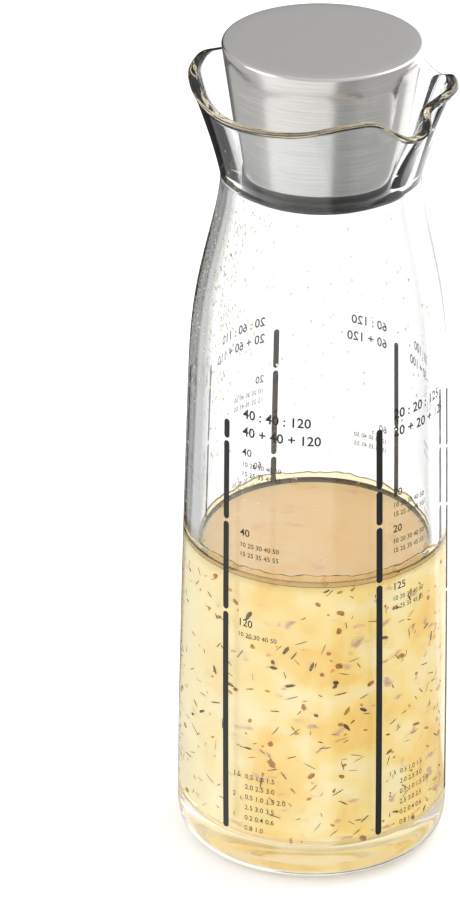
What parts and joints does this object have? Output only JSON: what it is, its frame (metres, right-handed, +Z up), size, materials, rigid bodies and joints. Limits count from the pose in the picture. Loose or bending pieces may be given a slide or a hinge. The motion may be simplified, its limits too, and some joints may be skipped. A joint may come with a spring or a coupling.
{
  "type": "dressing shaker bottle",
  "caption": "Clear glass dressing carafe with a flared pinched pouring collar, brushed steel stopper with a soft seal and fired measuring bars, part filled with dressing.",
  "frame": {"origin": "centre of the circle the bottle stands on, on the table plane", "axes": "+Z up along the bottle, +X towards the pouring spout"},
  "size_m": [0.0599, 0.0596, 0.1877],
  "materials": {
    "clear_glass": "polished clear glass",
    "dressing": "yellow oil dressing with herbs, modelled as a solid",
    "brushed_steel": "fine horizontal brushing, satin top",
    "black_plastic": "moulded, smooth",
    "black_silicone": "glossy silicone",
    "black_enamel": "fired glass enamel"
  },
  "bodies": {
    "bottle": {"glass_bottle": "clear_glass", "dressing": "dressing", "scale_bar_a": "black_enamel", "scale_bar_b": "black_enamel", "scale_bar_c": "black_enamel", "scale_bar_d": "black_enamel", "scale_bar_e": "black_enamel", "scale_bar_f": "black_enamel"},
    "lid": {"lid_shell": "brushed_steel", "stopper_core": "black_plastic", "seal_ring": "black_silicone", "stopper_base": "black_plastic"}
  },
  "joints": [
    {"name": "lid_lift", "type": "slide", "parent": "bottle", "child": "lid", "axis": [0, 0, 1], "range_m": [0, 0.045]}
  ]
}
